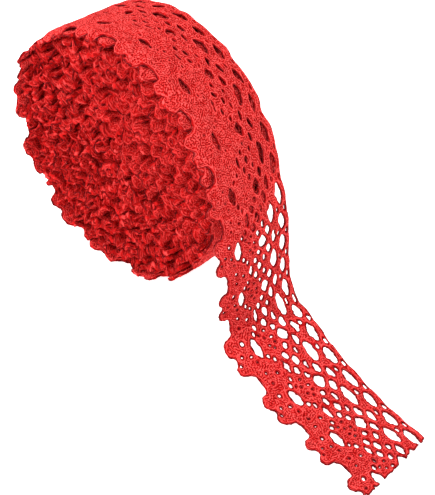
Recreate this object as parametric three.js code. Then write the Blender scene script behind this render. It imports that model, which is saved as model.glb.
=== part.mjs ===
// A roll of crocheted cotton lace trim that stands on its rim, with its loose end over the floor.
// Millimetres, +Z up. The floor is z = 0 and the origin lies under the middle of the roll.
// The roll's axis runs along Y: the scalloped edge faces -Y, the straight edge faces +Y.
// The loose end comes off the top of the roll and runs out towards +X.
import * as THREE from 'three';
import { mergeVertices } from 'three/addons/utils/BufferGeometryUtils.js';

// Driving dimensions of the lace
const LACE_WIDTH = 50;
const REPEAT = 30;
const THICKNESS = 1.8;

// Driving dimensions of the roll
const TURN_PITCH = 2.8;
const MEAN_RADIUS = 77.6;
const SAG = 0.043;
const LEAN = 0.048;
const UNEVENNESS = 0.006;
const AXIS_HEIGHT = 73.6;
const START_ANGLE = 145;
const STEP_ANGLE = 1.5;

// How the loose end lies
const LOOSE_REPEATS = 12;
const LEAVE_ANGLE = 25;
const OVER_STEPS = 12;
// Points of its middle line below the roll. The twist, in degrees, lifts its straight edge.
const FALL = [
  { x: 84.8, y: -1.6, z: 87.4, twist: 0 },
  { x: 92.9, y: -5.2, z: 65.8, twist: 4.4 },
  { x: 96.9, y: -6.8, z: 43.6, twist: 2.9 },
  { x: 98.8, y: -7.3, z: 28.2, twist: 5.8 },
  { x: 104.0, y: -8.4, z: 16.8, twist: 13 },
  { x: 115.6, y: -11.5, z: 12.6, twist: 21 },
  { x: 137.4, y: -15.4, z: 6.2, twist: 13.5 },
  { x: 159.7, y: -17.9, z: 2.6, twist: 4.4 },
  { x: 182.2, y: -20.6, z: 0.9, twist: 0 },
  { x: 204.7, y: -23.1, z: 0.9, twist: 0 },
];
// Where the lace is pushed together or drawn out: places in repeats and their length along the line
const PULL = [
  { along: 0, length: 0 },
  { along: 5.25, length: 157.5 },
  { along: 6.5, length: 195.1 },
  { along: 7.5, length: 223.3 },
  { along: 8.5, length: 251.5 },
  { along: 9.5, length: 284.3 },
  { along: 10.5, length: 316.5 },
  { along: 12, length: 359.6 },
];
// The cut end is aslant: how far it lies beyond the line's end at the straight edge, and per
// millimetre up the lace. The slant fades out over half a repeat.
const CUT_AT_EDGE = -2.7;
const CUT_SLANT = 0.14;
const SLANT_REPEATS = 0.5;

// The gaps of one repeat that are cut through. From the straight edge: up is the height of the
// gap's middle, long and tall its size, at the places along the repeat, as parts of it.
const GAPS = [
  { name: 'edge ovals', up: 4.9, long: 10.6, tall: 4.4, at: [0.25, 0.75] },
  { name: 'great ovals', up: 11.6, long: 12, tall: 4.6, at: [0.5] },
  { name: 'middle ovals', up: 10.8, long: 7.5, tall: 3.1, at: [0] },
  { name: 'side ovals', up: 14.6, long: 6.3, tall: 3.1, at: [0.2, 0.8] },
  { name: 'diamonds', up: 18.4, long: 7.2, tall: 5.3, at: [0] },
  { name: 'inner slits', up: 17.7, long: 4.4, tall: 2.1, at: [0.36, 0.64] },
  { name: 'small ovals', up: 21.1, long: 5.1, tall: 2.9, at: [0.5] },
  { name: 'outer slits', up: 23.7, long: 4.4, tall: 2.7, at: [0.33, 0.67] },
  { name: 'long slits', up: 26.9, long: 7.5, tall: 2, at: [0.5] },
  { name: 'eyelets', up: 34.5, long: 10.6, tall: 4.4, at: [0] },
];
const GAP_SIDES = 8;
const SMALL_GAP_SIDES = 6;
const SMALL_GAP = 5.2;

// The scalloped edge over one repeat: a deep valley between two picots, a notch between the pair
const SCALLOPS = [
  { at: 0, up: 46.5 },
  { at: 0.1, up: 48.2 },
  { at: 0.17, up: 50 },
  { at: 0.23, up: 50 },
  { at: 0.3, up: 46.4 },
  { at: 0.4, up: 43.6 },
  { at: 0.5, up: 42.6 },
];

// The wound form: columns around the roll, rings from its middle to its rim
const COLUMNS = 112;
const FRONT_RINGS = 19;
const BACK_RINGS = 8;
const RIM_ROWS = 3;
const EYE_RADIUS = 4;
const FRONT_RIDGES = 5;
const BACK_RIDGES = 3;
const FRONT_GROOVE_DEPTH = 4.5;
const BACK_GROOVE_DEPTH = 1.6;
const CRUMPLE = 0.5;
const RIM_SOFTNESS = 1.6;
const INNER_SCALLOP = 0.5;

const BANDS_PER_REPEAT = 4;
const ROUNDING = 1 / 2 ** 20;
const MERGE_DISTANCE = 1e-4;
const HALF = LACE_WIDTH / 2;
const radians = THREE.MathUtils.degToRad;

const rollMaterial = new THREE.MeshStandardMaterial({ color: 0xc42b2c, roughness: 0.92, metalness: 0 });
const looseMaterial = new THREE.MeshStandardMaterial({ color: 0xd8393b, roughness: 0.92, metalness: 0 });

// Middle of the outer turn: an oval that sags and leans a little, wound inwards by one pitch a turn
function turnRadius(angle, turns) {
  const oval = 1 + SAG * Math.cos(2 * angle) + LEAN * Math.sin(2 * angle);
  const uneven = UNEVENNESS * Math.sin(5 * angle);
  return MEAN_RADIUS * (oval + uneven) - TURN_PITCH * turns;
}

function turnPoint(degrees) {
  const angle = radians(degrees);
  const radius = turnRadius(angle, (degrees - START_ANGLE) / 360);
  return new THREE.Vector3(radius * Math.cos(angle), 0, AXIS_HEIGHT + radius * Math.sin(angle));
}

// The value of a table at a place between its rows
function between(table, key, place, value) {
  const next = Math.max(table.findIndex((row) => row[key] >= place), 1);
  const low = table[next - 1];
  const high = table[next];
  return THREE.MathUtils.mapLinear(place, low[key], high[key], low[value], high[value]);
}

// The loose end's middle line: over the roll, then down to the floor
function looseLine() {
  const points = [];
  const first = START_ANGLE - 2 * STEP_ANGLE;
  for (let i = 0; i <= OVER_STEPS; i += 1) {
    points.push(turnPoint(first + ((LEAVE_ANGLE - first) * i) / OVER_STEPS));
  }
  for (const p of FALL) {
    points.push(new THREE.Vector3(p.x, p.y, p.z));
  }
  const line = new THREE.CatmullRomCurve3(points, false, 'centripetal');
  line.arcLengthDivisions = 2000;
  return line;
}

const LINE = looseLine();
const LINE_LENGTH = LINE.getLength();
const TWISTS = [...new Array(OVER_STEPS + 1).fill(0), ...FALL.map((p) => p.twist)].map((twist, place) => ({
  place,
  twist,
}));

// A point of the loose end: along it in repeats, up from its straight edge, side 1 outer or -1 inner
function loosePoint(along, up, side) {
  const fade = Math.max(0, 1 - (LOOSE_REPEATS - along) / SLANT_REPEATS);
  const length = between(PULL, 'along', along, 'length') + fade * (CUT_AT_EDGE + CUT_SLANT * up);
  const part = Math.min(length / LINE_LENGTH, 1);
  const run = LINE.getTangentAt(part);
  const middle = LINE.getPointAt(part).addScaledVector(run, length - part * LINE_LENGTH);
  middle.z = Math.max(middle.z, THICKNESS / 2);
  const place = LINE.getUtoTmapping(part) * (TWISTS.length - 1);
  const twist = radians(between(TWISTS, 'place', place, 'twist'));
  const across = new THREE.Vector3(0, 1, 0).addScaledVector(run, -run.y).normalize().applyAxisAngle(run, twist);
  const out = new THREE.Vector3().crossVectors(run, across);
  const point = middle.addScaledVector(across, HALF - up).addScaledVector(out, (side * THICKNESS) / 2);
  point.z = Math.max(point.z, 0);
  return point;
}

// Height of the scalloped edge at a place along the lace, in repeats
function scallop(along) {
  const part = along - Math.floor(along);
  const mirrored = Math.min(part, 1 - part);
  const next = SCALLOPS.findIndex((row) => row.at >= mirrored - ROUNDING);
  if (next <= 0) {
    return SCALLOPS[0].up;
  }
  const low = SCALLOPS[next - 1];
  const high = SCALLOPS[next];
  return THREE.MathUtils.mapLinear(mirrored, low.at, high.at, low.up, high.up);
}

// A gap as an oval, in repeats along and millimetres up, anticlockwise. Places are rounded, so
// that the points in the middle of a gap lie exactly on a cut line.
function gapOutline(gap, centre) {
  const sides = gap.long < SMALL_GAP ? SMALL_GAP_SIDES : GAP_SIDES;
  const outline = [];
  for (let i = 0; i < sides; i += 1) {
    const turn = (2 * Math.PI * i) / sides;
    const along = centre + (gap.long / 2 / REPEAT) * Math.cos(turn);
    outline.push([Math.round(along / ROUNDING) * ROUNDING, gap.up + (gap.tall / 2) * Math.sin(turn)]);
  }
  return outline;
}

// The part of a convex outline on one side of a line across the lace
function clip(outline, line, keepAfter) {
  const kept = [];
  const inside = (p) => (keepAfter ? p[0] >= line : p[0] <= line);
  outline.forEach((p, i) => {
    const q = outline[(i + 1) % outline.length];
    if (inside(p)) {
      kept.push(p);
    }
    if (inside(p) !== inside(q) && p[0] !== line && q[0] !== line) {
      const [a, b] = p[0] < q[0] ? [p, q] : [q, p];
      kept.push([line, THREE.MathUtils.mapLinear(line, a[0], b[0], a[1], b[1])]);
    }
  });
  return kept;
}

// Splits the gaps that a band meets into whole ones and notches in its two cut lines
function bandGaps(from, to) {
  const whole = [];
  const startNotches = [];
  const endNotches = [];
  for (const gap of GAPS) {
    for (const place of gap.at) {
      for (let repeat = Math.floor(from) - 1; repeat <= Math.ceil(to) + 1; repeat += 1) {
        const outline = gapOutline(gap, repeat + place);
        const places = outline.map((p) => p[0]);
        const low = Math.min(...places);
        const high = Math.max(...places);
        if (low < from - ROUNDING && high > from + ROUNDING) {
          startNotches.push(clip(outline, from, true));
        } else if (low < to - ROUNDING && high > to + ROUNDING) {
          endNotches.push(clip(outline, to, false));
        } else if (low >= from - ROUNDING && high <= to + ROUNDING) {
          whole.push(outline);
        }
      }
    }
  }
  return { whole, startNotches, endNotches };
}

// A notch's points from its lower to its upper end on the cut line
function notchChain(notch, line) {
  const ends = notch.filter((p) => p[0] === line).sort((p, q) => p[1] - q[1]);
  const start = notch.indexOf(ends[0]);
  const turned = [...notch.slice(start), ...notch.slice(0, start)];
  return turned[1][0] === line ? [turned[0], ...turned.slice(1).reverse()] : turned;
}

function sideChain(notches, line, top) {
  const sorted = notches.map((notch) => notchChain(notch, line)).sort((a, b) => a[0][1] - b[0][1]);
  return [[line, 0], ...sorted.flat(), [line, top]];
}

// The loose end as a closed skin: each band is cut out flat, then bent along the line
function looseGeometry() {
  const corners = [];
  const addTriangle = (a, b, c) => corners.push(a, b, c);
  const bands = LOOSE_REPEATS * BANDS_PER_REPEAT;
  const bent = (p, side) => loosePoint(p[0], p[1], side);

  function addWall(p, q) {
    addTriangle(bent(p, 1), bent(p, -1), bent(q, -1));
    addTriangle(bent(p, 1), bent(q, -1), bent(q, 1));
  }

  for (let band = 0; band < bands; band += 1) {
    const from = band / BANDS_PER_REPEAT;
    const to = (band + 1) / BANDS_PER_REPEAT;
    const { whole, startNotches, endNotches } = bandGaps(from, to);
    const startSide = sideChain(startNotches, from, scallop(from));
    const endSide = sideChain(endNotches, to, scallop(to));
    const edge = SCALLOPS.flatMap((row) => [row.at, 1 - row.at])
      .map((at) => Math.floor(from) + at)
      .filter((along) => along > from + ROUNDING && along < to - ROUNDING)
      .sort((a, b) => b - a)
      .map((along) => [along, scallop(along)]);
    const contour = [...endSide, ...edge, ...startSide.reverse()];
    const loops = [contour, ...whole.map((outline) => [...outline].reverse())];
    const flat = loops.map((loop) => loop.map((p) => new THREE.Vector2(p[0] * REPEAT, p[1])));
    const points = loops.flat();
    for (const [a, b, c] of THREE.ShapeUtils.triangulateShape(flat[0], flat.slice(1))) {
      addTriangle(bent(points[a], 1), bent(points[c], 1), bent(points[b], 1));
      addTriangle(bent(points[a], -1), bent(points[b], -1), bent(points[c], -1));
    }
    for (const loop of loops) {
      loop.forEach((p, i) => {
        const q = loop[(i + 1) % loop.length];
        const inner = (line) => p[0] === line && q[0] === line && line > 0 && line < LOOSE_REPEATS;
        if (!inner(from) && !inner(to)) {
          addWall(q, p);
        }
      });
    }
  }
  return closedSkin(corners);
}

// Triangles given by their corners, with the shared corners merged
function closedSkin(corners) {
  const geometry = new THREE.BufferGeometry().setFromPoints(corners);
  const merged = mergeVertices(geometry, MERGE_DISTANCE);
  merged.computeVertexNormals();
  return merged;
}

// How far a face of the roll lies in from its edge plane. Its main turns are ridges that wind
// outwards with grooves between them, and on the front each ridge has its own picots.
function faceDepth(sweep, part, ridges, grooveDepth, scallopShare) {
  const winding = ridges * part + sweep / (2 * Math.PI);
  const groove = 0.5 + 0.5 * Math.cos(2 * Math.PI * winding);
  const ridgeRadius = (MEAN_RADIUS * Math.floor(winding)) / ridges;
  const picotRepeats = Math.round((2 * Math.PI * ridgeRadius) / REPEAT);
  const dip = LACE_WIDTH - scallop((sweep / (2 * Math.PI)) * picotRepeats);
  const crumple = Math.sin(5 * sweep + 9 * part) * Math.sin(3 * sweep - 14 * part + 1);
  return groove * grooveDepth + (1 - groove) * scallopShare * dip + CRUMPLE * (1 + crumple);
}

// The roll: columns of points around it, from the middle of its front over the rim to its back
function rollGeometry() {
  const columns = [];
  for (let c = 0; c < COLUMNS; c += 1) {
    const last = c === COLUMNS - 1;
    const sweep = last ? 360 - STEP_ANGLE : (360 * c) / COLUMNS;
    const turns = sweep / 360;
    const angle = radians(START_ANGLE + sweep);
    const outer = turnRadius(angle, turns) + THICKNESS / 2;
    const dip = LACE_WIDTH - scallop((-radians(sweep) * MEAN_RADIUS) / REPEAT);
    const column = [];
    const put = (radius, y) => {
      const z = Math.max(AXIS_HEIGHT + radius * Math.sin(angle), 0);
      column.push(new THREE.Vector3(radius * Math.cos(angle), y, z));
    };
    for (let ring = 0; ring <= FRONT_RINGS; ring += 1) {
      const part = ring / FRONT_RINGS;
      const radius = THREE.MathUtils.lerp(EYE_RADIUS, outer - RIM_SOFTNESS, part);
      const atRim = ring === FRONT_RINGS;
      const inner = faceDepth(radians(sweep), part, FRONT_RIDGES, FRONT_GROOVE_DEPTH, INNER_SCALLOP);
      put(radius, -HALF + (atRim ? dip : inner));
    }
    for (let row = 0; row <= RIM_ROWS; row += 1) {
      const from = -HALF + dip + RIM_SOFTNESS;
      put(outer, THREE.MathUtils.lerp(from, HALF - RIM_SOFTNESS, row / RIM_ROWS));
    }
    for (let ring = BACK_RINGS; ring >= 0; ring -= 1) {
      const part = ring / BACK_RINGS;
      const radius = THREE.MathUtils.lerp(EYE_RADIUS, outer - RIM_SOFTNESS, part);
      const atRim = ring === BACK_RINGS;
      const inner = faceDepth(radians(sweep), part, BACK_RIDGES, BACK_GROOVE_DEPTH, 0);
      put(radius, HALF - (atRim ? 0 : inner));
    }
    columns.push(column);
  }
  return skinOfColumns(columns);
}

// A closed skin over columns of points, with a fan at each end
function skinOfColumns(columns) {
  const corners = [];
  const rows = columns[0].length;
  const ends = [0, rows - 1].map((row) => {
    const sum = columns.reduce((total, column) => total.add(column[row]), new THREE.Vector3());
    return sum.divideScalar(columns.length);
  });
  columns.forEach((column, c) => {
    const next = columns[(c + 1) % columns.length];
    for (let row = 0; row < rows - 1; row += 1) {
      corners.push(column[row], next[row + 1], next[row]);
      corners.push(column[row], column[row + 1], next[row + 1]);
    }
    corners.push(ends[0], column[0], next[0]);
    corners.push(ends[1], next[rows - 1], column[rows - 1]);
  });
  return closedSkin(corners);
}

function addPiece(parent, name, geometry, material) {
  const mesh = new THREE.Mesh(geometry, material);
  mesh.name = name;
  parent.add(mesh);
  return mesh;
}

const group = new THREE.Group();
addPiece(group, 'lace_roll', rollGeometry(), rollMaterial);
addPiece(group, 'loose_end', looseGeometry(), looseMaterial);

export default group;
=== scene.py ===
"""A roll of red crochet lace trim that stands on its rim, with its loose end over a pale floor.

The lace is one strip. It is charted flat, over one repeat of the pattern, and then bent along its line:
from the cut end over the floor, up over the roll and round and round to the roll's middle.
"""
import math

import bmesh
import bpy
from bpy.props import FloatProperty, FloatVectorProperty, IntProperty, PointerProperty
from mathutils import Matrix, Vector, noise


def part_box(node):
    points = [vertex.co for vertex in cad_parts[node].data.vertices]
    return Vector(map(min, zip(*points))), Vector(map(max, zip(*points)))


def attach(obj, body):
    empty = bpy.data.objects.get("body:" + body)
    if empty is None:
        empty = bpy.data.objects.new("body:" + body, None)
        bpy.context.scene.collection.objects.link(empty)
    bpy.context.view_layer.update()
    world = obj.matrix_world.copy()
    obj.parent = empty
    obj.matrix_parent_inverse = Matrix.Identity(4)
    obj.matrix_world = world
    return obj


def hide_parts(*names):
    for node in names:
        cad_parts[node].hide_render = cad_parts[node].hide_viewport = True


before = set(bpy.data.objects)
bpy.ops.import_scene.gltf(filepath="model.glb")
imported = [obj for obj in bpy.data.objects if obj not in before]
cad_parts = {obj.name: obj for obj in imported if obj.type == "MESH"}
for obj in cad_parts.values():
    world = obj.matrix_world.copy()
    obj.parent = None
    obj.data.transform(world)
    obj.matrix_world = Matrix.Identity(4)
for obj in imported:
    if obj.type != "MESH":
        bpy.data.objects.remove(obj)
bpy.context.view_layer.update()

bl_info = {
    "name": "Crochet Lace Roll",
    "version": (1, 0, 0),
    "blender": (4, 5, 0),
    "location": "3D Viewport > Sidebar > Lace",
    "description": "Builds a wound roll of crochet lace trim with its loose end",
    "category": "Object",
}

ROLL_LOW, ROLL_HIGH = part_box("lace_roll")
MM = 0.001
IMAGE_SIZE = (435, 495)

# Where the loose end's middle line falls from the roll and runs out over the floor: x, y and z in
# millimetres, and the twist there, in degrees, that lifts its straight edge
FALL = (
    (84.8, -1.6, 87.4, 0),
    (92.9, -5.2, 65.8, 4.4),
    (96.9, -6.8, 43.6, 2.9),
    (98.8, -7.3, 28.2, 5.8),
    (104.0, -8.4, 16.8, 13),
    (115.6, -11.5, 12.6, 21),
    (137.4, -15.4, 6.2, 13.5),
    (159.7, -17.9, 2.6, 4.4),
    (182.2, -20.6, 0.9, 0),
    (204.7, -23.1, 0.9, 0),
)
# Where the lace is drawn out or pushed together: millimetres of flat lace and of the line, from the cut
# end. From 330 the outer turn is drawn out, and the turns below it are eased back.
PULL = (
    (0, 0),
    (45, 43.1),
    (75, 75.3),
    (105, 108.1),
    (135, 136.3),
    (165, 164.5),
    (202.5, 202.1),
    (300, 299.6),
    (330, 331.2),
    (360, 366),
    (390, 408),
    (420, 448),
    (450, 484.7),
    (480, 524),
    (510, 563.5),
    (540, 598),
    (5000, 4999.6),
    (9000, 8999.6),
)

# The gaps of one repeat: name, height of the middle above the straight edge, length, height,
# pointedness (2 is an ellipse, less is pointed) and places along the repeat. Millimetres, and parts of
# the repeat.
GAPS = (
    ("edge slit", 2.2, 4.4, 1.5, 1.5, (0.0, 0.5)),
    ("edge oval", 5.0, 10.9, 4.4, 1.6, (0.25, 0.75)),
    ("second slit", 7.4, 3.6, 1.4, 1.6, (0.0, 0.5)),
    ("great oval", 11.5, 12.6, 4.7, 1.6, (0.5,)),
    ("middle oval", 10.9, 7.6, 3.1, 1.6, (0.0,)),
    ("side oval", 14.7, 6.4, 3.1, 1.6, (0.2, 0.8)),
    ("diamond", 18.5, 7.8, 5.4, 1.4, (0.0,)),
    ("inner slit", 18.0, 4.3, 2.1, 1.7, (0.36, 0.64)),
    ("corner gap", 21.2, 3.6, 2.4, 1.8, (0.2, 0.8)),
    ("small oval", 21.3, 5.1, 2.9, 1.8, (0.5,)),
    ("outer slit", 24.0, 4.2, 2.6, 1.8, (0.345, 0.655)),
    ("long slit", 27.2, 7.5, 2.1, 1.6, (0.5,)),
    ("fan gap", 29.6, 2.9, 1.7, 1.8, (0.3, 0.7)),
    ("low fan gap", 31.9, 2.8, 1.9, 1.8, (0.21, 0.79)),
    ("eyelet", 34.5, 10.5, 4.4, 1.7, (0.0,)),
    ("picot eye", 40.0, 2.3, 2.0, 2.0, (0.16,)),
    ("side eye", 39.2, 1.7, 1.5, 2.0, (0.93,)),
    ("pinhole", 32.4, 1.8, 1.6, 2.0, (0.5,)),
    ("pinhole", 37.7, 1.7, 1.5, 2.0, (0.59,)),
    ("pinhole", 43.4, 1.4, 1.2, 2.0, (0.0,)),
    ("pinhole", 38.2, 1.3, 1.1, 2.0, (0.4, 0.8)),
    ("pinhole", 46.2, 1.4, 1.2, 2.0, (0.9,)),
    ("fan pinhole", 24.3, 1.2, 1.1, 2.0, (0.05, 0.95)),
    ("fan pinhole", 26.0, 1.2, 1.1, 2.0, (0.2, 0.86)),
    ("fan pinhole", 27.6, 1.2, 1.1, 2.0, (0.08, 0.94)),
    ("fan pinhole", 29.8, 1.2, 1.1, 2.0, (0.16,)),
)

# How far beyond its outline a gap still sets how deep the yarn is, in mm
GAP_REACH = 1.6

# The scalloped edge: two round picots a repeat, on a soft wave. Heights, radius and the softness of the
# picots' necks in mm, their place in parts of the repeat from its middle.
WAVE_HEIGHT = 44.8
WAVE_RISE = 1.8
WAVE_STEEPNESS = 0.93
PICOT_PLACE = 0.175
PICOT_HEIGHT = 45.3
PICOT_RADIUS = 4.2
NECK = 1.6

# The straight edge: its mean height and how far it waves between the edge ovals, in mm
STRAIGHT_EDGE = 0.2
STRAIGHT_WAVE = 0.3

# The cut end: how far it lies in at the straight edge, in mm, its slant, and its fraying, in mm
CUT_IN = 2.7
CUT_SLANT = 0.14
FRAYING = 0.5

# From where the lace lies slack, and over what length it gets so, in mm from the cut end
SLACK_FROM = 155
SLACK_OVER = 45

# How high above the straight edge the lace is fully ragged and wanders freely, in mm
RAGGED_FROM = 8
WANDER_FROM = 4

# How high over the floor the middle line and the lowest points lie at least, in mm
LEAST_LINE_HEIGHT = 0.9
LEAST_HEIGHT = 0.02

# Where lace stops lying flat and starts to curl, in mm from the straight edge
CURL_FROM = 40.5


class LaceSizes(bpy.types.PropertyGroup):
    width: FloatProperty(
        name="Lace width",
        description="From the straight edge to the tips of the picots",
        default=ROLL_HIGH.y - ROLL_LOW.y, unit="LENGTH",
    )
    repeat: FloatProperty(
        name="Repeat", description="Length of one repeat of the pattern", default=0.030, unit="LENGTH",
    )
    half_thickness: FloatProperty(
        name="Half thickness", description="Half of the thickness of the yarn between gaps",
        default=0.00066, unit="LENGTH",
    )
    edge_round: FloatProperty(
        name="Edge rounding", description="How far in from a gap the yarn is rounded", default=0.0009,
        unit="LENGTH",
    )
    stitch: FloatProperty(
        name="Stitch", description="Size of one stitch of the dense parts", default=0.00115, unit="LENGTH",
    )
    stitch_relief: FloatProperty(
        name="Stitch relief", description="How far a stitch stands up", default=0.00028, unit="LENGTH",
    )
    ease: FloatProperty(
        name="Ease", description="How far the gaps close all round where the lace lies slack on the roll",
        default=0.00088, unit="LENGTH",
    )
    ease_loose: FloatProperty(
        name="Ease of the loose end", description="How far the gaps of the run-out close all round",
        default=0.0002, unit="LENGTH",
    )
    wander: FloatProperty(
        name="Wander", description="How far hand-made gaps lie from their place", default=0.0008,
        unit="LENGTH",
    )
    ragged: FloatProperty(
        name="Raggedness", description="How uneven the edges of the gaps are", default=0.0005, unit="LENGTH",
    )
    repeats_loose: FloatProperty(
        name="Loose repeats", description="Repeats from the cut end to where the outer turn begins",
        default=12.05,
    )
    repeats_run_out: FloatProperty(
        name="Repeats of the run-out", description="Repeats from the cut end up to the roll's side",
        default=6.25,
    )


class RollSizes(bpy.types.PropertyGroup):
    mean_radius: FloatProperty(
        name="Mean radius", description="Of the middle of the outer turn", default=0.0776, unit="LENGTH",
    )
    sag: FloatProperty(name="Sag", description="How much wider than tall the roll is", default=0.043)
    lean: FloatProperty(name="Lean", description="The same, along the diagonal", default=0.048)
    unevenness: FloatProperty(name="Unevenness", description="Five soft lobes of the winding", default=0.006)
    pitch: FloatProperty(
        name="Outer pitch", description="From the loose end to the turn below it", default=0.0028,
        unit="LENGTH",
    )
    overlap_pull: FloatProperty(
        name="Overlap pull", description="How much closer the turn below lies to the loose end",
        default=0.0006, unit="LENGTH",
    )
    inner_pitch: FloatProperty(
        name="Inner pitch", description="From one inner turn to the next", default=0.0034, unit="LENGTH",
    )
    axis_height: FloatProperty(
        name="Axis height", description="Of the roll's middle over the floor", default=0.0736, unit="LENGTH",
    )
    start_angle: FloatProperty(
        name="Start angle", description="Where the outer turn begins, in degrees from +X", default=145.0,
    )
    leave_angle: FloatProperty(
        name="Leave angle", description="Where the loose end leaves the roll, in degrees from +X",
        default=25.0,
    )
    turns: IntProperty(name="Turns", description="Wound turns down to the roll's middle", default=21, min=2)


def srgb(text):
    """A hex colour as three sRGB numbers from 0 to 1."""
    return tuple(int(text[i : i + 2], 16) / 255 for i in (1, 3, 5))


class LookColours(bpy.types.PropertyGroup):
    yarn: FloatVectorProperty(
        name="Yarn", description="Red cotton, as sRGB", subtype="COLOR_GAMMA", size=3, min=0, max=1,
        default=srgb("#D21B1B"),
    )
    # Painted shade: the yarn's red, darkened to stand for the shade between the stitches and where strands
    # dive under each other
    yarn_shade: FloatVectorProperty(
        name="Yarn shade", description="Between the stitches, as sRGB", subtype="COLOR_GAMMA", size=3,
        min=0, max=1, default=srgb("#900101"),
    )
    # Painted shade: a dark red that stands for the shade where the yarn turns away at a gap
    yarn_edge_shade: FloatVectorProperty(
        name="Yarn edge shade", description="Where the yarn turns away at a gap, as sRGB", subtype="COLOR_GAMMA",
        size=3, min=0, max=1, default=srgb("#62080E"),
    )
    # Painted highlight: a lighter, pinker red that stands for light catching the tops of the fibres; it also
    # tints the sheen
    fibre_highlight: FloatVectorProperty(
        name="Fibre highlight", description="Light on the cotton's fibres, as sRGB", subtype="COLOR_GAMMA", size=3,
        min=0, max=1, default=srgb("#FC5A58"),
    )


def linear(colour):
    """Three sRGB numbers to Blender's linear colour."""
    steps = [c / 12.92 if c <= 0.04045 else ((c + 0.055) / 1.055) ** 2.4 for c in colour]
    return (*steps, 1.0)


def lace():
    return bpy.context.scene.lace_sizes


def roll():
    return bpy.context.scene.roll_sizes


# The line of the strip


def turn_point(degrees):
    """Middle of the wound strip: an oval that sags and leans a little and winds inwards."""
    sizes = roll()
    angle = math.radians(degrees)
    turns = (degrees - sizes.start_angle) / 360
    oval = 1 + sizes.sag * math.cos(2 * angle) + sizes.lean * math.sin(2 * angle)
    uneven = sizes.unevenness * math.sin(5 * angle)
    wound_in = sizes.pitch * min(turns, 1) + sizes.inner_pitch * max(turns - 1, 0)
    pulled_after, pulled_within = 0.3, 0.35
    wound_in -= sizes.overlap_pull * min(max((turns - pulled_after) / pulled_within, 0), 1)
    uneven_share, uneven_waves = 0.16, 2.1
    uneven_pitch = sizes.inner_pitch * uneven_share * math.sin(uneven_waves * turns)
    wound_in += uneven_pitch * min(max(turns - 1, 0), 1)
    radius = sizes.mean_radius * (oval + uneven) - wound_in
    return Vector((radius * math.cos(angle), 0, sizes.axis_height + radius * math.sin(angle)))


def spline(points, steps):
    """A centripetal Catmull-Rom curve through the points, as a list of points."""
    ends = [2 * points[0] - points[1], *points, 2 * points[-1] - points[-2]]
    line = []
    for i in range(1, len(ends) - 2):
        a, b, c, d = ends[i - 1 : i + 3]
        gaps = [max((q - p).length, 1e-9) ** 0.5 for p, q in ((a, b), (b, c), (c, d))]
        start = (b - a) / gaps[0] - (c - a) / (gaps[0] + gaps[1]) + (c - b) / gaps[1]
        finish = (c - b) / gaps[1] - (d - b) / (gaps[1] + gaps[2]) + (d - c) / gaps[2]
        start *= gaps[1]
        finish *= gaps[1]
        for k in range(steps):
            t = k / steps
            cubic = (2 * (b - c) + start + finish) * t ** 3
            square = (3 * (c - b) - 2 * start - finish) * t ** 2
            line.append(cubic + square + start * t + b)
    line.append(points[-1])
    return line


def pulled(along):
    """Length along the line of a place of the flat lace, both in mm from the cut end."""
    for (a, b), (c, d) in zip(PULL, PULL[1:]):
        if along <= c:
            break
    return b + (along - a) * (d - b) / (c - a)


class StripLine:
    """The strip's middle line from the cut end to the roll's middle, with frames at a given length."""

    def __init__(self):
        sizes = roll()
        over_steps, spline_steps = 12, 40
        wind_step, lead_in = 1.5, 3  # degrees
        first = sizes.start_angle - lead_in
        over_step = (sizes.leave_angle - first) / over_steps
        over = [turn_point(first + over_step * i) for i in range(over_steps + 1)]
        loose = spline([*over, *(Vector(p[:3]) * MM for p in FALL)], spline_steps)
        knots = [0.0] * len(over) + [math.radians(p[3]) for p in FALL]
        twists = []
        for i in range(len(loose)):
            knot, part = divmod(i / spline_steps, 1)
            following = min(int(knot) + 1, len(knots) - 1)
            twists.append(knots[int(knot)] * (1 - part) + knots[following] * part)
        for p in loose:
            p.z = max(p.z, LEAST_LINE_HEIGHT * MM)
        wound = []
        degrees = sizes.start_angle
        while degrees < sizes.start_angle + 360 * sizes.turns:
            wound.append(turn_point(degrees))
            degrees += wind_step
        self.points = [*reversed(loose), *wound]
        self.twists = [*reversed(twists), *(0.0 for _ in wound)]
        self.lengths = [0.0]
        for p, q in zip(self.points, self.points[1:]):
            self.lengths.append(self.lengths[-1] + (q - p).length)
        self.length = self.lengths[-1]

    def frames(self, places):
        """For rising places of the flat lace, in mm: the middle, the way to the straight edge, and out."""
        frames = []
        i = 0
        for place in places:
            length = pulled(place) * MM
            while i < len(self.points) - 2 and self.lengths[i + 1] < length:
                i += 1
            p, q = self.points[i], self.points[i + 1]
            part = (length - self.lengths[i]) / (self.lengths[i + 1] - self.lengths[i])
            part = min(part, 1)
            middle = p + (q - p) * part
            before = self.points[max(i - 1, 0)]
            after = self.points[min(i + 2, len(self.points) - 1)]
            blend = max(part, 0)
            run = ((p - before) * (1 - blend) + (after - q) * blend + (q - p)).normalized() * -1
            across = (Vector((0, 1, 0)) - run * run.y).normalized()
            out = run.cross(across)
            twist = self.twists[i] * (1 - blend) + self.twists[i + 1] * blend
            across, out = (
                across * math.cos(twist) + out * math.sin(twist),
                out * math.cos(twist) - across * math.sin(twist),
            )
            frames.append((middle, across, out))
        return frames


# The flat chart of the lace


def scalloped_edge(along, up):
    """Distance to the scalloped edge, in mm, and the way away from it."""
    repeat = lace().repeat / MM
    place = (along / repeat + 0.5) % 1 - 0.5
    wave = WAVE_HEIGHT + WAVE_RISE * math.cos(2 * math.pi * place)
    slope = -WAVE_RISE * 2 * math.pi / repeat * math.sin(2 * math.pi * place)
    best = ((wave - up) * WAVE_STEEPNESS, slope, -1.0)
    for side in (-1, 1):
        across, over = (place - side * PICOT_PLACE) * repeat, up - PICOT_HEIGHT
        reach = math.hypot(across, over) + 1e-9
        lobe = (PICOT_RADIUS - reach, -across / reach, -over / reach)
        share = min(max(0.5 + (lobe[0] - best[0]) / (2 * NECK), 0), 1)
        fillet = NECK * share * (1 - share)
        best = tuple(a * share + b * (1 - share) for a, b in zip(lobe, best))
        best = (best[0] + fillet, best[1], best[2])
    return best


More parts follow.
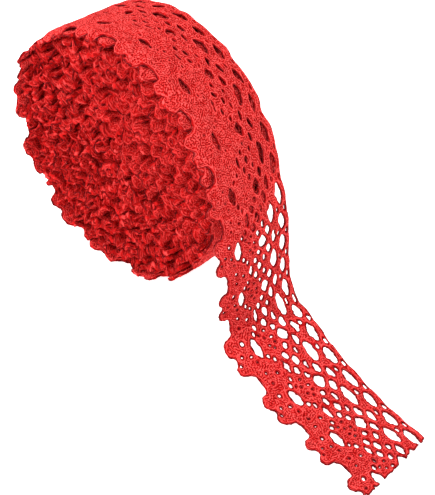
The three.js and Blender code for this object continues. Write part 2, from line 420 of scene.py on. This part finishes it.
def slackness(along):
    """From 0 where the lace is drawn out over the floor to 1 where it lies slack on the roll."""
    return min(max((along - SLACK_FROM) / SLACK_OVER, 0), 1)


def noise_at(x, y, layer):
    """Smooth noise from -1 to 1, in waves about 1 long."""
    return noise.noise(Vector((x, y, layer)))


def inside(along, up):
    """How far a place of the flat lace is inside the yarn, in mm, and the way further in."""
    repeat = lace().repeat / MM
    slack = slackness(along)
    slack_wander, wander_waves, ragged_waves = 0.6, 0.11, 0.42
    fray_waves_up, fray_waves_along = 0.7, 0.2
    wander = lace().wander / MM * (1 + slack_wander * slack)
    ease = (lace().ease_loose * (1 - slack) + lace().ease * slack) / MM
    spot = Vector((along * wander_waves, up * wander_waves, 0))
    elsewhere = Vector((7.1, 3.3, 0))
    frayed = noise_at(up * fray_waves_up, 0.5, along * fray_waves_along)
    ragged = lace().ragged / MM * noise_at(along * ragged_waves, up * ragged_waves, 6.0)
    cut = along - CUT_IN + CUT_SLANT * up + FRAYING * frayed
    along += wander * noise.noise(spot)
    up += wander * noise.noise(spot + elsewhere) * min(1, up / WANDER_FROM)
    best = scalloped_edge(along, up)
    if cut < best[0]:
        best = (cut, 1.0, CUT_SLANT)
    straight = up - STRAIGHT_EDGE - STRAIGHT_WAVE * math.cos(4 * math.pi * along / repeat)
    if straight < best[0]:
        best = (straight, 0.0, 1.0)
    for _, middle, long, tall, power, places in GAPS:
        over = up - middle
        if abs(over) > tall / 2 + GAP_REACH:
            continue
        for place in places:
            across = ((along / repeat - place + 0.5) % 1 - 0.5) * repeat
            if abs(across) > long / 2 + GAP_REACH:
                continue
            x, y = abs(across) * 2 / long + 1e-6, abs(over) * 2 / tall + 1e-6
            reach = (x ** power + y ** power) ** (1 / power)
            scale = reach ** (1 - power)
            gx = scale * x ** (power - 1) * 2 / long
            gy = scale * y ** (power - 1) * 2 / tall
            steep = math.hypot(gx, gy)
            distance = (reach - 1) / steep + ease
            if distance < best[0]:
                best = (distance, math.copysign(gx / steep, across), math.copysign(gy / steep, over))
    return best[0] + ragged * min(up / RAGGED_FROM, 1), best[1], best[2]


def yarn_height(along, up, deep):
    """Half thickness at a place, in mm, and how much of it is the top of a strand, from 0 to 1.

    A chain of stitches follows each edge, and further in the strands wind at random. Waves are per
    stitch, and shares are parts of one.
    """
    sizes = lace()
    stitch = sizes.stitch / MM
    lump_waves, strand_waves, strand_sharpness = 0.5, 0.4, 3.2
    chain_sway, chain_width = 0.3, 1.2
    strand_share, lump_share, mean_knot = 0.7, 0.3, 0.35
    edge_share = 0.16
    round_part = min(max(deep, 0) / (sizes.edge_round / MM), 1)
    rounding = math.sqrt(1 - (1 - round_part) ** 2)
    spot = Vector((along / stitch, up / stitch, 4.0))
    lumps = noise.noise(spot * lump_waves)
    chain = 0.5 - 0.5 * math.cos(2 * math.pi * (deep / stitch + chain_sway * lumps))
    ridges = abs(noise.noise(spot * strand_waves + Vector((5.0, 1.0, 3.0))))
    strands = 1 - min(1, strand_sharpness * ridges)
    inner = min(max(deep / stitch - chain_width, 0), 1)
    knot = strand_share * (chain * (1 - inner) + strands * inner) + lump_share * (0.5 + lumps)
    height = sizes.half_thickness / MM * (edge_share + (1 - edge_share) * rounding)
    return height + sizes.stitch_relief / MM * (knot - mean_knot) * rounding, knot


def flat_lace(first, last, low, high, cell):
    """A bmesh of the flat lace between two places along it and two heights, in mm, gaps cut out."""
    columns = max(2, round((last - first) / cell))
    rows = max(2, round((high - low) / cell))
    bm = bmesh.new()
    place = Matrix.Translation(((first + last) / 2, (low + high) / 2, 0))
    size = Matrix.Diagonal((last - first, high - low, 1, 1))
    bmesh.ops.create_grid(bm, x_segments=columns, y_segments=rows, size=0.5, matrix=place @ size)
    bm.verts.ensure_lookup_table()
    bm.verts.index_update()
    deep = [inside(v.co.x, v.co.y) for v in bm.verts]
    gone = [f for f in bm.faces if sum(deep[v.index][0] for v in f.verts) < 0]
    bmesh.ops.delete(bm, geom=gone, context="FACES")
    most_move, end_reach = cell * 0.75, cell / 4
    for v in bm.verts:
        if not v.is_boundary:
            continue
        x = v.co.x
        at_end = min(abs(x - first), abs(last - x)) < end_reach
        distance, away_x, away_y = deep[v.index]
        move = max(-most_move, min(most_move, -distance))
        v.co.y += away_y * move
        if not at_end:
            v.co.x += away_x * move
    smooth_outline(bm, first + end_reach, last - end_reach)
    return bm


def smooth_outline(bm, low, high):
    """Evens out the steps that the grid leaves in the outlines."""
    rounds = 2
    for _ in range(rounds):
        moves = []
        for v in bm.verts:
            if not v.is_boundary or not low < v.co.x < high:
                continue
            near = [e.other_vert(v).co for e in v.link_edges if e.is_boundary]
            if len(near) == 2:
                moves.append((v, (v.co * 2 + near[0] + near[1]) / 4))
        for v, co in moves:
            v.co = co


def lace_piece(name, line, first, last, low, high, cell, bend, swell=1.0, dark_below=0.0, soft_rim=0.15):
    """Cuts out a length of lace, gives it its thickness and stitches, and bends it along the line.

    first and last are places of the flat lace from the cut end, low and high heights from the straight
    edge, in mm. bend(middle, across, out, along, up, height) gives the place of a point in metres.
    swell makes the yarn thicker, as it is where it isn't stretched. Below dark_below, in mm, painted shade
    darkens the yarn deep between the turns. soft_rim, in mm, is how much less of its rim gets painted shade
    where it is slack.
    """
    side_shift, dark_over, dark_share = 0.6, 6, 0.4
    bm = flat_lace(first, last, low, high, cell)
    flat_uv = bm.loops.layers.uv.new("Lace")
    bmesh.ops.solidify(bm, geom=bm.faces[:], thickness=1.0)
    for face in bm.faces:
        for loop in face.loops:
            loop[flat_uv].uv = (loop.vert.co.x * MM, loop.vert.co.y * MM)
        face.smooth = True
    tone = bm.verts.layers.float.new("stitch")
    depth = bm.verts.layers.float.new("depth")
    verts = sorted(bm.verts, key=lambda v: v.co.x)
    frames = line.frames([v.co.x for v in verts])
    middle_z = sum(v.co.z for v in verts) / len(verts)
    for v, (middle, across, out) in zip(verts, frames):
        along, up, side = v.co.x, v.co.y, math.copysign(1, v.co.z - middle_z)
        deep = inside(along, up)[0]
        height, knot = yarn_height(along + side * side_shift, up, deep)
        # Painted shade: below dark_below the stitch tone drops, so the yarn is painted darker deep between
        # the turns; soft_rim shifts the depth so that a slack rim gets less of the painted edge shade
        v[tone] = knot - dark_share * min(max((dark_below - up) / dark_over, 0), 1)
        v[depth] = deep + soft_rim * slackness(along)
        v.co = bend(middle, across, out, along, up, side * height * swell)
    bmesh.ops.recalc_face_normals(bm, faces=bm.faces[:])
    mesh = bpy.data.meshes.new(name)
    bm.to_mesh(mesh)
    bm.free()
    piece = bpy.data.objects.new(name, mesh)
    bpy.context.scene.collection.objects.link(piece)
    return piece


def crumpled(stiff_height, curl, lean, slide, forward=0.0):
    """Makes a bend whose border beyond stiff_height curls: lean is its mean turn, in radians, curl how
    much that sways at random, and slide how far the whole edge shifts, in mm, about forward of its
    place. Slack lace only. Waves are per mm of lace."""
    curl_waves, fine_curl_waves, fine_curl = 0.16, 0.42, 0.6
    drift_waves, fine_drift_waves, fine_drift = 0.045, 0.13, 0.5
    border_ripple, border_waves, border_from, border_over = 0.6, 0.09, 30, 20
    slack_ripple, slack_waves = 0.7, 0.12

    def bend(middle, across, out, along, up, height):
        half = lace().width / 2
        slack = slackness(along)
        beyond = max(0, up - stiff_height)
        sway = noise_at(along * curl_waves, 0, 1.0) + fine_curl * noise_at(along * fine_curl_waves, 3.0, 1.0)
        turn = (lean + curl * sway) * slack * beyond * MM / half
        drift = forward + slide * slack * noise_at(along * drift_waves, 5.0, 0)
        drift += fine_drift * slide * slack * noise_at(along * fine_drift_waves, 8.0, 0)
        if abs(turn) < 1e-3:
            reach, rise = beyond, 0
        else:
            reach = beyond * math.sin(turn) / turn
            rise = beyond * (1 - math.cos(turn)) / turn
        straight = min(up, stiff_height)
        near_border = max(0, up - border_from) / border_over
        ripple = (1 - slack) * border_ripple * near_border * noise_at(along * border_waves, 0, 2.0)
        ripple += slack * slack_ripple * noise_at(along * slack_waves, up * slack_waves, 3.0)
        point = middle + across * (half - (straight + reach + drift) * MM) + out * ((rise + ripple) * MM)
        point += (out * math.cos(turn) + across * math.sin(turn)) * (height * MM)
        point.z = max(point.z, LEAST_HEIGHT * MM)
        return point

    return bend


def add_node(tree, kind, inputs=None, **settings):
    """Adds a node with its settings, and its inputs as values or as sockets to link from."""
    node = tree.nodes.new(kind)
    for key, value in settings.items():
        setattr(node, key, value)
    for key, value in (inputs or {}).items():
        if isinstance(value, bpy.types.NodeSocket):
            tree.links.new(value, node.inputs[key])
        else:
            node.inputs[key].default_value = value
    return node


def new_material(name):
    material = bpy.data.materials.new(name)
    material.use_nodes = True
    tree = material.node_tree
    tree.nodes.clear()
    return material, tree


def crocheted_cotton(name, brightness=1.0, evenness=0.0):
    """Soft matt cotton yarn, crocheted: strands about 1.2 mm apart run along the edges of gaps and picots
    and turn with every stitch between them. Painted highlight lightens the top of each strand, painted
    shade turns it deep red where strands dive under each other, and dark where the yarn turns away at a
    gap. Its fibres are finer than the 0.6 mm that they are drawn at, so that they show. evenness, from 0
    to 0.5, brings the painted highlight and the painted shade closer."""
    material, tree = new_material(name)
    colours = bpy.context.scene.look_colours
    stitch = lace().stitch
    uv = add_node(tree, "ShaderNodeUVMap", uv_map="Lace").outputs["UV"]
    top = add_node(tree, "ShaderNodeAttribute", attribute_name="stitch").outputs["Fac"]
    depth = add_node(tree, "ShaderNodeAttribute", attribute_name="depth").outputs["Fac"]
    sway = add_node(tree, "ShaderNodeTexNoise", {
        "Vector": uv, "Scale": 1 / (2.2 * stitch), "Detail": 1.0,
    }, noise_dimensions="2D").outputs["Fac"]
    waver = add_node(tree, "ShaderNodeTexNoise", {
        "Vector": uv, "Scale": 1 / (1.1 * stitch), "Detail": 1.0,
    }, noise_dimensions="2D").outputs["Color"]
    warp = add_node(tree, "ShaderNodeVectorMath", {0: waver, 1: (stitch, stitch, 0), 2: uv},
                    operation="MULTIPLY_ADD").outputs[0]
    fibres = add_node(tree, "ShaderNodeTexNoise", {
        "Vector": uv, "Scale": 1 / (0.6 * MM), "Detail": 2.0, "Roughness": 0.6,
    }, noise_dimensions="2D").outputs["Fac"]
    blotch = add_node(tree, "ShaderNodeTexNoise", {
        "Vector": uv, "Scale": 1 / (7 * MM), "Detail": 2.0,
    }, noise_dimensions="2D").outputs["Fac"]
    turning = add_node(tree, "ShaderNodeTexGabor", {
        "Vector": warp, "Scale": 1 / (3.4 * stitch), "Frequency": 3.2, "Anisotropy": 0.0,
    }, gabor_type="2D").outputs["Phase"]
    rows = add_node(tree, "ShaderNodeMath", {0: depth, 1: MM / stitch, 2: sway},
                    operation="MULTIPLY_ADD").outputs[0]
    along_edges = add_node(tree, "ShaderNodeMath", {0: rows, 1: 0.5}, operation="PINGPONG").outputs[0]
    between = add_node(tree, "ShaderNodeMath", {0: turning, 1: 0.5}, operation="PINGPONG").outputs[0]
    inner = add_node(tree, "ShaderNodeMapRange", {
        "Value": depth, "From Min": 1.1 * stitch / MM, "From Max": 1.7 * stitch / MM,
    }).outputs["Result"]
    mixed = add_node(tree, "ShaderNodeMix", {0: inner, 2: along_edges, 3: between}, data_type="FLOAT")
    strand = add_node(tree, "ShaderNodeMapRange", {
        "Value": mixed.outputs[0], "From Min": 0.06, "From Max": 0.36,
    }, interpolation_type="SMOOTHSTEP").outputs["Result"]
    raised = add_node(tree, "ShaderNodeMath", {0: top, 1: 0.65, 2: strand},
                      operation="MULTIPLY_ADD").outputs[0]
    relief = add_node(tree, "ShaderNodeMath", {0: fibres, 1: 1.3, 2: raised},
                      operation="MULTIPLY_ADD").outputs[0]
    tone = add_node(tree, "ShaderNodeMapRange", {
        "Value": relief, "From Min": 0.7, "From Max": 2.15, "To Min": evenness, "To Max": 1 - evenness,
    })
    # Painted shade and painted highlight: low tone gives the darkened yarn colour, high tone the lighter
    # colour of lit fibres
    shades = add_node(tree, "ShaderNodeValToRGB", {"Fac": tone.outputs["Result"]})
    stops = shades.color_ramp.elements
    stops[0].position, stops[0].color = 0.0, linear(colours.yarn_shade)
    stops[1].position, stops[1].color = 0.55, linear(colours.yarn)
    stop = stops.new(1.0)
    stop.color = linear(colours.fibre_highlight)
    value = add_node(tree, "ShaderNodeMapRange", {
        "Value": blotch, "From Min": 0.3, "From Max": 0.7, "To Min": 0.93 * brightness,
        "To Max": 1.05 * brightness,
    }).outputs["Result"]
    varied = add_node(tree, "ShaderNodeHueSaturation", {"Color": shades.outputs["Color"], "Value": value})
    # Painted shade: within about 0.6 mm of a gap the yarn is mixed towards the dark edge colour
    rim = add_node(tree, "ShaderNodeMapRange", {"Value": depth, "From Min": 0.1, "From Max": 0.6})
    coloured = add_node(tree, "ShaderNodeMix", {
        0: rim.outputs["Result"], 6: linear(colours.yarn_edge_shade), 7: varied.outputs["Color"],
    }, data_type="RGBA")
    bump = add_node(tree, "ShaderNodeBump", {"Height": relief, "Distance": 0.35 * MM, "Strength": 1.0})
    shader = add_node(tree, "ShaderNodeBsdfPrincipled", {
        "Base Color": coloured.outputs[2], "Roughness": 0.9, "IOR": 1.47, "Specular IOR Level": 0.05,
        "Normal": bump.outputs["Normal"], "Sheen Weight": 0.05, "Sheen Roughness": 0.5,
        "Sheen Tint": linear(colours.fibre_highlight),
    })
    add_node(tree, "ShaderNodeOutputMaterial", {"Surface": shader.outputs["BSDF"]})
    return material


def pale_floor():
    """White acrylic of a light table, matt and lit evenly from below, which leaves hardly any shadow."""
    material, tree = new_material("opal acrylic light table")
    shader = add_node(tree, "ShaderNodeBsdfPrincipled", {
        "Base Color": linear(srgb("#F4F4F4")), "Roughness": 0.8, "Emission Color": linear(srgb("#FFFFFF")),
        "Emission Strength": 0.85,
    })
    add_node(tree, "ShaderNodeOutputMaterial", {"Surface": shader.outputs["BSDF"]})
    return material


def dress(piece, material):
    """Gives a piece its material and its body."""
    piece.data.materials.append(material)
    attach(piece, "root")


def inner_places():
    """Where the outer turn begins and ends, in mm of flat lace from the cut end."""
    start = lace().repeats_loose * lace().repeat / MM
    return start, start + 2 * math.pi * roll().mean_radius / MM


def yarn_material(name, brightness=1.0, evenness=0.0):
    """The cotton yarn of that name: crumpled yarn has weaker painted highlights and painted shade and is
    painted a little darker, and shaded yarn is painted darker still.
    """
    return bpy.data.materials.get(name) or crocheted_cotton(name, brightness, evenness)


class LACE_OT_loose_end(bpy.types.Operator):
    """Adds the loose end of the lace, from the cut end over the floor and up over the roll"""

    bl_idname = "lace.loose_end"
    bl_label = "Loose End"

    def execute(self, context):
        sizes = lace()
        line = StripLine()
        repeat = sizes.repeat / MM
        width = sizes.width / MM
        cell = 0.42
        material = yarn_material("crocheted cotton yarn")
        bend = crumpled(CURL_FROM, curl=2.2, lean=-2.2, slide=1.6)
        beyond_cut, yarn_share = 6, 0.74
        split = sizes.repeats_run_out * repeat
        end = sizes.repeats_loose * repeat
        run_out = lace_piece("lace_run_out", line, -beyond_cut, split, 0, width, cell, bend)
        over = lace_piece("lace_over_roll", line, split, end, 0, width, cell, bend)
        for piece, length, rests in ((run_out, split, "floor"), (over, end - split, "wound_core")):
            dress(piece, material)
            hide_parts("loose_end")
        return {"FINISHED"}


class LACE_OT_outer_turn(bpy.types.Operator):
    """Adds the outer wound turn of the lace, at its full width"""

    bl_idname = "lace.outer_turn"
    bl_label = "Outer Turn"

    def execute(self, context):
        sizes = lace()
        line = StripLine()
        start, end = inner_places()
        cell = 0.75
        bend = crumpled(CURL_FROM, curl=1.3, lean=-0.2, slide=1.0)
        width = sizes.width / MM
        turn = lace_piece("lace_outer_turn", line, start, end, 0, width, cell, bend, swell=1.15)
        dress(turn, yarn_material("crocheted cotton yarn"))
        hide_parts("lace_roll")
        return {"FINISHED"}


class LACE_OT_wound_edges(bpy.types.Operator):
    """Adds the scalloped edges of the inner turns, crumpled against each other"""

    bl_idname = "lace.wound_edges"
    bl_label = "Wound Edges"

    def execute(self, context):
        sizes = lace()
        line = StripLine()
        start = inner_places()[1]
        finish = line.length / MM
        # Painted shade: this copy of the yarn for the roll's face is a little darker, with weaker painted
        # highlights
        material = yarn_material("crumpled cotton yarn in painted shade", brightness=0.97, evenness=0.2)
        bend = crumpled(39, curl=4.6, lean=-1.4, slide=2.6, forward=-1.2)
        cell = 0.75
        parts, lowest, width = 3, 38, sizes.width / MM
        for part in range(parts):
            low = start + (finish - start) * part / parts
            high = start + (finish - start) * (part + 1) / parts
            name = f"wound_edges_{part + 1}"
            edges = lace_piece(name, line, low, high, lowest, width, cell, bend, swell=1.6, dark_below=44.5,
                               soft_rim=0.35)
            dress(edges, material)
            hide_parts("lace_roll")
        return {"FINISHED"}


class LACE_OT_straight_edges(bpy.types.Operator):
    """Adds the straight edges of the inner turns, on the back of the roll"""

    bl_idname = "lace.straight_edges"
    bl_label = "Straight Edges"

    def execute(self, context):
        line = StripLine()
        start = inner_places()[1]
        cell = 1.0
        width, depth = lace().width / MM, 3.5
        bend = crumpled(width, curl=0, lean=0, slide=0.8)
        finish = line.length / MM
        edges = lace_piece("wound_straight_edges", line, start, finish, 0, depth, cell, bend, swell=1.4)
        dress(edges, yarn_material("crocheted cotton yarn"))
        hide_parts("lace_roll")
        return {"FINISHED"}


class LACE_OT_core(bpy.types.Operator):
    """Adds the dense body of the wound turns, which shows only through gaps and between edges"""

    bl_idname = "lace.core"
    bl_label = "Wound Core"

    def execute(self, context):
        sizes = roll()
        half = lace().width / 2
        behind_picots, behind_straight_edge = 9.5 * MM, 1.2 * MM
        inset, overlap_inset = 1.3 * MM, 1.1 * MM
        segments, rim_share, dish_share = 240, 0.03, 0.04
        lead_out = 10  # degrees
        # Painted shade: the core's stitch tone is set low, so that it shows darker through the gaps, as
        # lying deep in the roll
        core_shade_tone, far_from_edge = -0.2, 9.0
        front, back = half - behind_picots, half - behind_straight_edge
        bm = bmesh.new()
        bmesh.ops.create_circle(bm, cap_ends=True, segments=segments, radius=1.0)
        solid = bmesh.ops.extrude_face_region(bm, geom=bm.faces[:])
        top = [g for g in solid["geom"] if isinstance(g, bmesh.types.BMVert)]
        bmesh.ops.translate(bm, verts=top, vec=(0, 0, 1))
        dished = [f for f in bm.faces if len(f.verts) == segments and f.calc_center_median().z > 0.5]
        bmesh.ops.inset_region(bm, faces=dished, thickness=rim_share, depth=0)
        for face in dished:
            bmesh.ops.translate(bm, verts=face.verts[:], vec=(0, 0, -dish_share))
        for v in bm.verts:
            reach = math.hypot(v.co.x, v.co.y)
            angle = math.degrees(math.atan2(v.co.y, v.co.x))
            overlapped = sizes.leave_angle - lead_out < angle < sizes.start_angle
            wound = sizes.start_angle + (angle - sizes.start_angle) % 360
            rim = turn_point(angle if overlapped else wound)
            away = Vector((rim.x, 0, rim.z - sizes.axis_height))
            away -= away.normalized() * (inset + (overlap_inset if overlapped else 0))
            depth = -front if v.co.z < 0.5 else front + (v.co.z - 1) * 2 * half + (back - front)
            v.co = Vector((away.x * reach, depth, sizes.axis_height + away.z * reach))
        uv = bm.loops.layers.uv.new("Lace")
        for face in bm.faces:
            for loop in face.loops:
                co = loop.vert.co
                angle = math.atan2(co.z - sizes.axis_height, co.x)
                loop[uv].uv = (angle * sizes.mean_radius, co.y)
        tone = bm.verts.layers.float.new("stitch")
        depth_layer = bm.verts.layers.float.new("depth")
        for v in bm.verts:
            v[tone] = core_shade_tone
            v[depth_layer] = far_from_edge
        bmesh.ops.recalc_face_normals(bm, faces=bm.faces[:])
        mesh = bpy.data.meshes.new("wound_core")
        bm.to_mesh(mesh)
        bm.free()
        core = bpy.data.objects.new("wound_core", mesh)
        context.scene.collection.objects.link(core)
        dress(core, yarn_material("shaded cotton yarn", brightness=0.95))
        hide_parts("lace_roll")
        return {"FINISHED"}


class LACE_OT_stage(bpy.types.Operator):
    """Adds the pale floor, the soft studio light and the camera"""

    bl_idname = "lace.stage"
    bl_label = "Stage"

    def execute(self, context):
        scene = context.scene
        bpy.ops.mesh.primitive_plane_add(size=30)
        floor = context.object
        floor.name = "floor"
        floor.data.materials.append(pale_floor())
        world = bpy.data.worlds.new("white room")
        world.use_nodes = True
        sky = world.node_tree.nodes["Background"]
        sky.inputs["Color"].default_value = (1, 1, 1, 1)
        sky.inputs["Strength"].default_value = 0.75
        scene.world = world
        self.add_light("key", (0.08, -0.3, 1.1), 1.1, 9.2)
        self.add_light("fill", (-0.6, -0.8, 0.6), 1.2, 9.0)
        self.add_camera(scene)
        scene.view_settings.view_transform = "Standard"
        return {"FINISHED"}

    def add_light(self, name, place, size, power):
        light = bpy.data.lights.new(name, "AREA")
        light.size = size
        light.energy = power
        lamp = bpy.data.objects.new(name, light)
        lamp.location = place
        aim = Vector((0.03, 0, 0.06))
        lamp.rotation_euler = (aim - Vector(place)).to_track_quat("-Z", "Y").to_euler()
        bpy.context.scene.collection.objects.link(lamp)

    def add_camera(self, scene):
        azimuth, elevation, distance = math.radians(45.3), math.radians(40.94), 0.520
        focal_pixels, right_shift, up_shift = 943.9, 0.04443, -0.05668
        sensor = 36
        back = Vector((
            math.sin(azimuth) * math.cos(elevation),
            -math.cos(azimuth) * math.cos(elevation),
            math.sin(elevation),
        ))
        right = Vector((math.cos(azimuth), math.sin(azimuth), 0))
        up = back.cross(right)
        centre = Vector((0, 0, roll().axis_height))
        data = bpy.data.cameras.new("camera")
        data.sensor_width = sensor
        data.lens = focal_pixels / max(IMAGE_SIZE) * sensor
        data.clip_start = 0.01
        camera = bpy.data.objects.new("camera", data)
        camera.location = centre + back * distance + right * right_shift + up * up_shift
        camera.rotation_euler = (-back).to_track_quat("-Z", "Y").to_euler()
        scene.collection.objects.link(camera)
        scene.camera = camera


class LACE_PT_panel(bpy.types.Panel):
    bl_idname = "LACE_PT_panel"
    bl_label = "Crochet Lace Roll"
    bl_space_type = "VIEW_3D"
    bl_region_type = "UI"
    bl_category = "Lace"

    def draw(self, context):
        for group in (context.scene.lace_sizes, context.scene.roll_sizes, context.scene.look_colours):
            column = self.layout.column(align=True)
            for name in group.__annotations__:
                column.prop(group, name)
        for operator in OPERATORS:
            self.layout.operator(operator.bl_idname)


OPERATORS = (
    LACE_OT_stage,
    LACE_OT_core,
    LACE_OT_loose_end,
    LACE_OT_outer_turn,
    LACE_OT_wound_edges,
    LACE_OT_straight_edges,
)
GROUPS = (LaceSizes, RollSizes, LookColours)


def register():
    for cls in (*GROUPS, *OPERATORS, LACE_PT_panel):
        bpy.utils.register_class(cls)
    bpy.types.Scene.lace_sizes = PointerProperty(type=LaceSizes)
    bpy.types.Scene.roll_sizes = PointerProperty(type=RollSizes)
    bpy.types.Scene.look_colours = PointerProperty(type=LookColours)


def unregister():
    del bpy.types.Scene.look_colours
    del bpy.types.Scene.roll_sizes
    del bpy.types.Scene.lace_sizes
    for cls in reversed((*GROUPS, *OPERATORS, LACE_PT_panel)):
        bpy.utils.unregister_class(cls)


def main():
    register()
    bpy.ops.lace.stage()
    bpy.ops.lace.core()
    bpy.ops.lace.loose_end()
    bpy.ops.lace.outer_turn()
    bpy.ops.lace.wound_edges()
    bpy.ops.lace.straight_edges()


if __name__ == "__main__":
    main()
